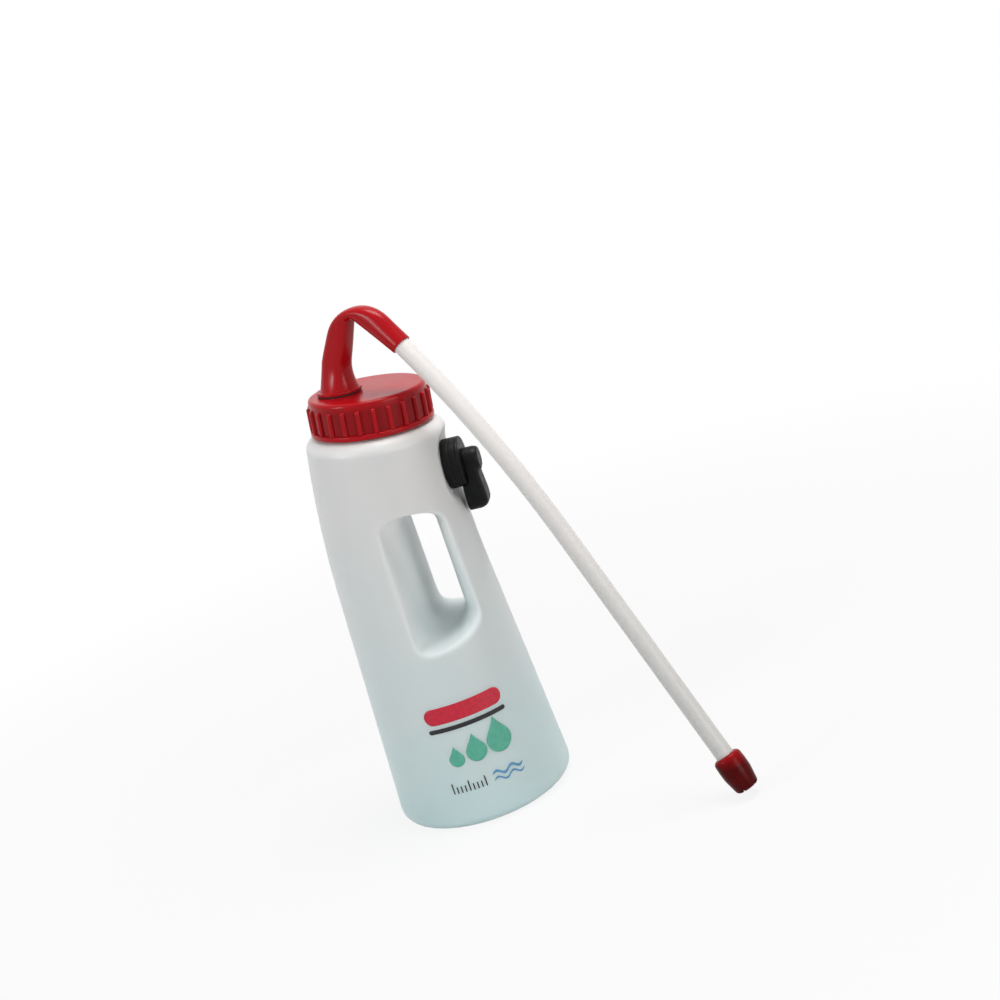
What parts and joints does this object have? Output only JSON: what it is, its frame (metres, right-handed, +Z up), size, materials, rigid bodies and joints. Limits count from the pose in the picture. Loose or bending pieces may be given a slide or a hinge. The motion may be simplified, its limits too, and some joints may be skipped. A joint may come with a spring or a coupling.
{
  "type": "livestock drencher",
  "caption": "Hand-held drenching bottle with a hand hole, ribbed screw cap, swivelling elbow spout, stiff dosing probe with a soft tip, and a lever valve that meters the air.",
  "frame": {"origin": "centre of the base, on the surface that the bottle stands on", "axes": "+Z up along the lower bottle's axis, +X towards the valve and the handle"},
  "size_m": [0.2696, 0.1882, 0.371],
  "materials": {
    "bottle_plastic": "milky, translucent, satin",
    "red_plastic": "gloss",
    "tube_plastic": "satin",
    "tip_rubber": "gloss",
    "black_plastic": "satin",
    "disc_plastic": "satin",
    "seal_rubber": "matte",
    "spring_steel": "bright"
  },
  "bodies": {
    "bottle": {"bottle": "bottle_plastic", "valve_collar": "black_plastic", "valve_gasket": "seal_rubber"},
    "cap_rise": {"cap_gasket": "seal_rubber"},
    "cap": {"cap": "red_plastic"},
    "spout": {"spout_elbow": "red_plastic", "spout_seal": "seal_rubber", "spout_nut": "red_plastic", "tube_o_ring": "seal_rubber"},
    "probe": {"probe_tube": "tube_plastic", "probe_tip": "tip_rubber"},
    "lever": {"valve_lever": "black_plastic", "stem_o_ring": "seal_rubber", "metering_disc": "disc_plastic", "disc_spring": "spring_steel", "stem_clip": "spring_steel"}
  },
  "joints": [
    {"name": "cap_lift", "type": "slide", "parent": "bottle", "child": "cap_rise", "axis": [0.1435, 0, 0.9897], "range_m": [0, 0.009]},
    {"name": "cap_turn", "type": "hinge", "parent": "cap_rise", "child": "cap", "pos_m": [0.00927, 0, 0.28401], "axis": [0.1435, 0, 0.9897], "range_deg": [0, 540]},
    {"name": "spout_swivel", "type": "hinge", "parent": "cap", "child": "spout", "pos_m": [-0.00509, -0.00193, 0.31317], "axis": [0.1435, 0, 0.9897], "continuous": true},
    {"name": "probe_pull", "type": "slide", "parent": "spout", "child": "probe", "axis": [0.5107, -0.2898, -0.8094], "range_m": [0, 0.016]},
    {"name": "valve_turn", "type": "hinge", "parent": "bottle", "child": "lever", "pos_m": [0.04951, 0, 0.24301], "axis": [0.9987, 0, -0.0517], "range_deg": [0, 90]}
  ],
  "couplings": [
    {"joint": "cap_lift", "follows": "cap_turn", "m_per_rad": 0.00095493}
  ]
}
